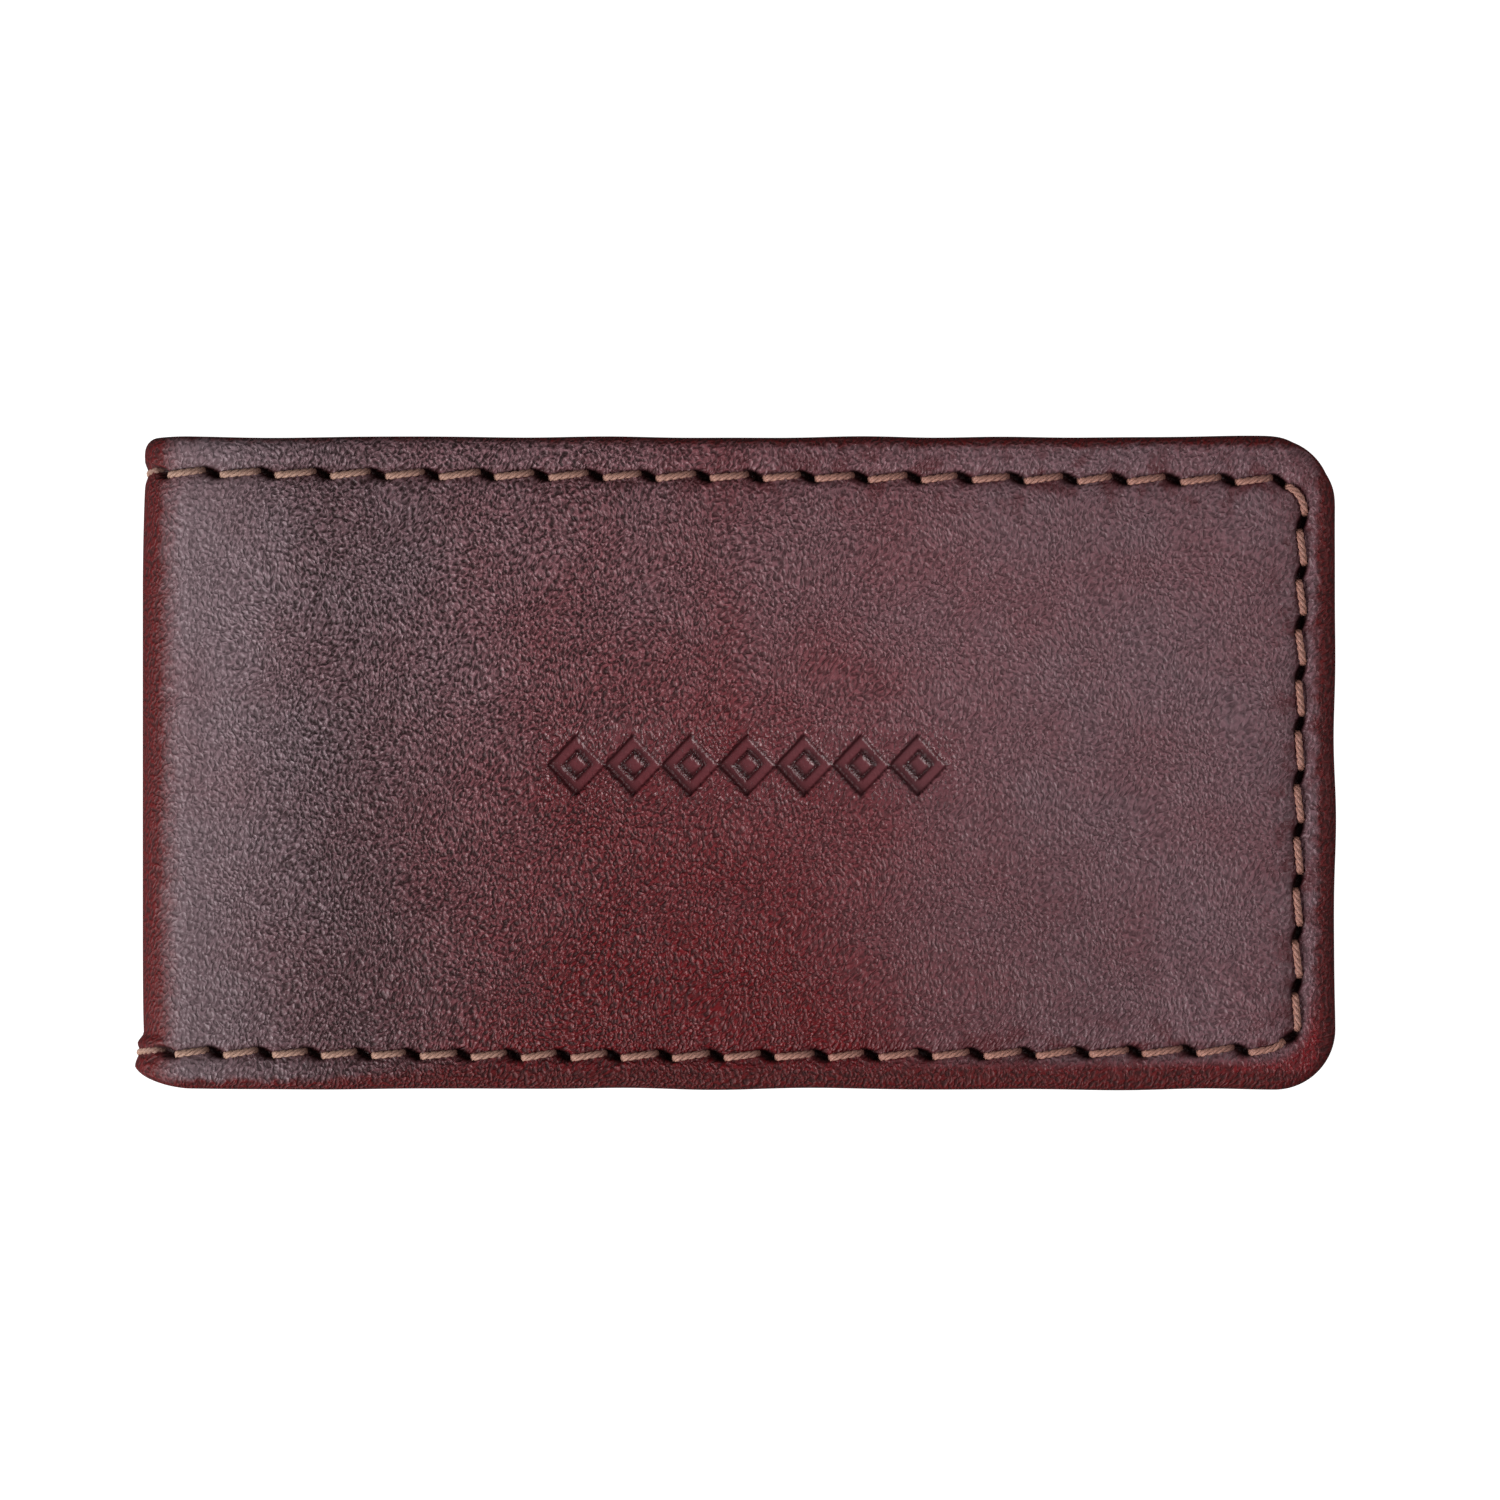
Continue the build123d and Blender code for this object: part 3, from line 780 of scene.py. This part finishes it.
def outer_leather_material():
    """Oxblood leather, grey mauve from wear and painted sheen except along its edges, which carry painted
    shade, and in the lower middle.
    """
    shader = Shader("oxblood_leather")
    sheet, stitch = shader.uv("sheet"), shader.uv("stitch")
    u, y, _ = shader.split(sheet)
    phase, inward, _ = shader.split(stitch)
    pressed, near_press, _ = shader.split(shader.uv("press"))
    grain = leather_grain(shader, sheet)
    # The press irons the grain flat.
    ironed = shader.range(near_press, 0.2, 1.0, 0.0, 0.2)
    ironed = shader.math("MAXIMUM", ironed, shader.math("MULTIPLY", pressed, 0.85))
    grain = shader.math("ADD", grain, shader.math("MULTIPLY", shader.math("SUBTRACT", 0.62, grain), ironed))
    wear_and_sheen = shader.math("SUBTRACT", 1.0, oxblood_share(shader, sheet, u, y))
    # The lower margin is left red, without the wear and painted sheen, except near the fold.
    margin = shader.math("MULTIPLY", shader.range(inward, -0.6, -1.6), shader.range(y, -20.0, -24.0))
    margin = shader.math("MULTIPLY", margin, shader.range(u, -36.0, -26.0))
    wear_and_sheen = shader.math("MULTIPLY", wear_and_sheen, shader.math("SUBTRACT", 1.0, margin))
    ridge = shader.range(grain, 0.2, 0.88)
    pit = shader.mix(wear_and_sheen, srgb(38, 1, 3), srgb(24, 8, 10))
    # The grey mauve of wear and painted sheen, changing in tone along the case.
    along_case = shader.mix(shader.range(u, -50.0, -38.0), srgb(101, 83, 88), srgb(107, 86, 92))
    along_case = shader.mix(shader.range(u, -4.0, 34.0), along_case, srgb(97, 73, 79))
    crest = shader.mix(wear_and_sheen, srgb(94, 12, 18), along_case)
    # The grain is stretched flatter close to the fold and towards the free end.
    relief = shader.range(u, -50.0, -39.0, 0.5, 1.0)
    relief = shader.math("MINIMUM", relief, shader.range(u, -14.0, 22.0, 1.0, 0.6))
    pit = shader.mix(relief, crest, pit)
    colour = shader.mix(ridge, pit, crest)
    # Painted shade darkens the leather beside the fold and towards the lower edge.
    beside = shader.math("DIVIDE", shader.math("ADD", u, 36.0), 8.5)
    beside = shader.math("MULTIPLY", shader.math("MULTIPLY", beside, beside), -1.0)
    beside = shader.math("POWER", math.e, beside)
    lower = shader.math("MULTIPLY", shader.range(y, 8.0, -24.0), shader.range(u, 44.0, 30.0, 0.2, 1.0))
    painted_shade = shader.math("MULTIPLY_ADD", beside, 0.24, shader.math("MULTIPLY", lower, 0.26))
    colour = shader.mix(painted_shade, colour, srgb(30, 4, 6))
    # Painted shade, dark red, in the small puckers beside the stitches of the free half.
    puckers = shader.range(shader.noise(sheet, 0.45, 2.0), 0.5, 0.66)
    from_stitches = shader.math("ABSOLUTE", inward)
    puckers = shader.math("MULTIPLY", puckers, shader.range(from_stitches, 4.2, 0.6, 0.0, 0.62))
    puckers = shader.math("MULTIPLY", puckers, shader.range(u, -24.0, 8.0))
    colour = shader.mix(puckers, colour, srgb(62, 6, 12))
    # Painted shade along the edges, where they roll away, and along the fold: a deeper red without the
    # painted sheen.
    ragged = shader.range(shader.noise(sheet, 0.8, 3.0), 0.3, 0.7, -0.3, 0.3)
    lower = shader.math("MULTIPLY", shader.range(y, 0.0, -1.0), shader.range(u, -40.0, -26.0, 0.0, 0.9))
    from_side = shader.math("SUBTRACT", HALF_WIDTH, shader.math("ABSOLUTE", y))
    from_side = shader.math("SUBTRACT", from_side, lower)
    upper = shader.math("MULTIPLY", shader.range(y, 0.0, 1.0), shader.range(u, 12.0, -30.0, 0.0, 0.75))
    from_side = shader.math("ADD", from_side, upper)
    from_end = shader.math("SUBTRACT", END_U - 0.85, u)
    from_edge = shader.math("ADD", shader.math("MINIMUM", from_side, from_end), ragged)
    edge = shader.range(from_edge, 1.25, 0.55)
    edge = shader.math("MAXIMUM", edge, shader.range(shader.math("ADD", u, ragged), -51.4, -53.6))
    colour = shader.mix(edge, colour, shader.mix(ridge, srgb(38, 0, 1), srgb(70, 2, 5)))
    # Painted shade on the ornament's sloping walls; the press itself has made its floor a little darker.
    wall_shade = shader.math("MULTIPLY", pressed, shader.math("SUBTRACT", 1.0, pressed))
    wall_shade = shader.math("MULTIPLY", wall_shade, 3.0)
    colour = shader.mix(shader.math("MULTIPLY", near_press, 0.15), colour, srgb(70, 24, 28))
    colour = shader.mix(shader.math("MULTIPLY", pressed, 0.5), colour, srgb(84, 40, 45))
    colour = shader.mix(wall_shade, colour, srgb(26, 3, 5))
    # Painted shade inside the needle holes.
    colour = shader.mix(needle_hole(shader, phase, inward), colour, srgb(14, 5, 5))
    # Painted shade along the stitch line, where the thread sinks into the leather.
    rim = shader.range(from_stitches, 0.9, 0.2, 0.0, 0.4)
    colour = shader.mix(rim, colour, srgb(54, 12, 14))
    roughness = shader.range(ridge, 0.0, 1.0, 0.66, 0.42)
    roughness = shader.math("ADD", roughness, shader.math("MULTIPLY", edge, 0.12))
    roughness = shader.math("SUBTRACT", roughness, shader.math("MULTIPLY", near_press, 0.16))
    normal = shader.bump(shader.math("MULTIPLY", grain, relief), 1.0, 0.00027)
    return shader.finish(Base_Color=colour, Roughness=roughness, Normal=normal, Specular_IOR_Level=0.22)


def thread_material():
    """Brown twisted thread, with painted shade towards the end of each stitch that is pulled down into its
    hole.
    """
    shader = Shader("tan_thread")
    run, around, _ = shader.split(shader.uv("thread"))
    coordinates = shader.node("ShaderNodeCombineXYZ", (run, around, 0.0))
    stretched = shader.vector("MULTIPLY", coordinates, (3.0, 9.0, 1.0))
    fibre = shader.noise(stretched, 3.0, 3.0, 0.6)
    u, pulled, _ = shader.split(shader.uv("tint_and_shade"))
    along_case = shader.range(u, -48.0, 10.0)
    dark = shader.mix(along_case, srgb(76, 50, 42), srgb(66, 34, 30))
    pale = shader.mix(along_case, srgb(162, 128, 110), srgb(168, 118, 102))
    colour = shader.mix(shader.range(fibre, 0.3, 0.7), dark, pale)
    # Painted shade towards the pulled-down end of each stitch.
    colour = shader.mix(shader.range(pulled, 0.4, 1.0, 0.0, 0.6), colour, srgb(64, 22, 20))
    normal = shader.bump(fibre, 0.6, 0.00008)
    return shader.finish(Base_Color=colour, Roughness=0.62, Normal=normal)


def inner_leather_material(name, pit, crest):
    """Smooth, finely grained leather of the lining and the pockets, with painted shade in its needle holes
    and darker along its edges.
    """
    shader = Shader(name)
    sheet, stitch = shader.uv("sheet"), shader.uv("stitch")
    phase, inward, _ = shader.split(stitch)
    grain = leather_grain(shader, sheet, 1.5)
    ridge = shader.range(grain, 0.2, 0.95)
    colour = shader.mix(ridge, pit, crest)
    cloud = shader.range(shader.noise(sheet, 0.11, 3.0), 0.3, 0.7, 0.0, 0.35)
    colour = shader.mix(cloud, colour, pit)
    edge = shader.range(inward, -2.1, -2.4)
    colour = shader.mix(edge, colour, srgb(34, 12, 12))
    # Painted shade inside the needle holes.
    colour = shader.mix(needle_hole(shader, phase, inward), colour, srgb(14, 5, 5))
    roughness = shader.range(ridge, 0.0, 1.0, 0.62, 0.5)
    normal = shader.bump(grain, 0.8, 0.00018)
    return shader.finish(Base_Color=colour, Roughness=roughness, Normal=normal, Specular_IOR_Level=0.35)


def fibrous_material(name, dark, light, scale, roughness=0.85, metallic=0.0):
    """Board, cut leather, foam or metal: a mottled colour laid through the solid."""
    shader = Shader(name)
    place = shader.node("ShaderNodeTexCoord", output="Object")
    spots = shader.node("ShaderNodeTexNoise", {"Vector": place, "Scale": scale, "Detail": 4.0}, "Fac")
    colour = shader.mix(shader.range(spots, 0.3, 0.7), dark, light)
    normal = shader.bump(spots, 0.4, 0.0001)
    return shader.finish(Base_Color=colour, Roughness=roughness, Metallic=metallic, Normal=normal)


def glowing_floor_material():
    """A light table: the case lies on plain white, with no shadow."""
    shader = Shader("light_table")
    seen = shader.node("ShaderNodeLightPath", output="Is Camera Ray")
    white = (1.0, 1.0, 1.0, 1.0)
    return shader.finish(Base_Color=(0.12, 0.12, 0.12, 1), Roughness=1.0, Specular_IOR_Level=0.0,
                         Emission_Color=white, Emission_Strength=shader.math("MULTIPLY", seen, 1.05))


# ---------------------------------------------------------------- pieces

outer_material = outer_leather_material()
thread = thread_material()
lining_material = inner_leather_material("lining_leather", srgb(44, 18, 18), srgb(84, 46, 43))
pocket_material = inner_leather_material("pocket_leather", srgb(42, 13, 14), srgb(82, 36, 36))
foam_material = fibrous_material("grey_foam", srgb(120, 118, 112), srgb(160, 158, 150), 2500.0)
backing_material = fibrous_material("spine_backing", srgb(60, 50, 44), srgb(96, 84, 74), 1500.0)
board_material = fibrous_material("grey_board", srgb(112, 106, 98), srgb(146, 140, 130), 1800.0)
cut_edge_material = fibrous_material("cut_leather", srgb(38, 14, 14), srgb(74, 34, 32), 2200.0, 0.7)
magnet_material = fibrous_material("nickel_plate", srgb(176, 176, 178), srgb(206, 206, 208), 900.0, 0.28, 1.0)


def cross_fold(piece):
    """Bakes a piece's placement into its mesh. The piece was already bent round the spine when it was built.
    """
    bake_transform(piece)


def over_the_fold(piece, side, material, slot, *nodes):
    """Finishes a piece that covers one cover and its half of the spine, in place of those CAD nodes."""
    piece.data.materials.append(material)
    cross_fold(piece)
    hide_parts(*nodes)


def on_the_cover(piece, side, material, slot, *nodes):
    """Finishes a piece that stays on one cover, in place of those CAD nodes."""
    piece.data.materials.append(material)
    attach(piece, f"{side}_cover")
    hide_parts(*nodes)


for side in ("front", "back"):
    outer_nodes = (f"{side}_cover_leather", "spine_leather")
    over_the_fold(outer_leather(side), side, outer_material, "outer_leather", *outer_nodes)
    over_the_fold(stitches(side), side, thread, "thread", f"{side}_needle_thread", "spine_needle_thread")
    inside_nodes = (f"{side}_bobbin_thread", "spine_bobbin_thread")
    over_the_fold(stitches(side, inside=True), side, thread, "thread", *inside_nodes)
    over_the_fold(lining(side), side, lining_material, "lining_leather", f"{side}_lining", "spine_lining")
    over_the_fold(spine_stiffener(side), side, backing_material, "backing", "spine_reinforcement")
    on_the_cover(pocket_panel(side), side, pocket_material, "pocket_leather", f"{side}_pocket_panel")
    pad = foam_pad(side)
    on_the_cover(pad, side, foam_material, "foam", f"{side}_foam_pad")
    cad_materials = {"stiffener_board": board_material, "pocket_welt_upper": cut_edge_material,
                     "pocket_welt_lower": cut_edge_material, "pocket_welt_end": cut_edge_material,
                     "upper_magnet": magnet_material, "lower_magnet": magnet_material}
    for node, material in cad_materials.items():
        for material_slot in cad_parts[f"{side}_{node}"].material_slots:
            material_slot.material = material


# ---------------------------------------------------------------- studio

# Metres and watts from here on.
LIGHT_SIZE = 0.30
KEY_POWER = 5.3
FILL_POWER = 1.7
WORLD_STRENGTH = 0.24
FLOOR_SIZE = 3.0
CAMERA_RISE = 0.90  # above the front cover
CAMERA_PLACE = (0.0010, 0.0012)
FRAME_WIDTH = 0.1382  # what the camera sees at the front cover


def area_light(name, place, power):
    """A square light aimed at the middle of the underside."""
    lamp = bpy.data.lights.new(name, "AREA")
    lamp.shape = "RECTANGLE"
    lamp.size, lamp.size_y = LIGHT_SIZE, LIGHT_SIZE
    lamp.energy = power
    light = bpy.data.objects.new(name, lamp)
    light.location = place
    light.rotation_euler = (-Vector(place)).to_track_quat("-Z", "Y").to_euler()
    bpy.context.scene.collection.objects.link(light)


def studio():
    bpy.ops.mesh.primitive_plane_add(size=FLOOR_SIZE, location=(0, 0, 0))
    floor = bpy.context.object
    floor.name = "floor"
    floor.data.materials.append(glowing_floor_material())
    area_light("key", (-0.38, -0.20, 0.24), KEY_POWER)
    area_light("fill", (0.40, 0.10, 0.36), FILL_POWER)
    world = bpy.data.worlds.new("studio")
    world.use_nodes = True
    world.node_tree.nodes["Background"].inputs["Color"].default_value = (1, 1, 1, 1)
    world.node_tree.nodes["Background"].inputs["Strength"].default_value = WORLD_STRENGTH
    bpy.context.scene.world = world
    bpy.context.scene.view_settings.view_transform = "Standard"


def camera():
    """Straight above the case, square to it."""
    lens = bpy.data.cameras.new("camera")
    lens.lens = lens.sensor_width * CAMERA_RISE / FRAME_WIDTH
    eye = bpy.data.objects.new("camera", lens)
    eye.location = (*CAMERA_PLACE, COVER_HIGH[2] * MM + CAMERA_RISE)
    bpy.context.scene.collection.objects.link(eye)
    bpy.context.scene.camera = eye


studio()
camera()
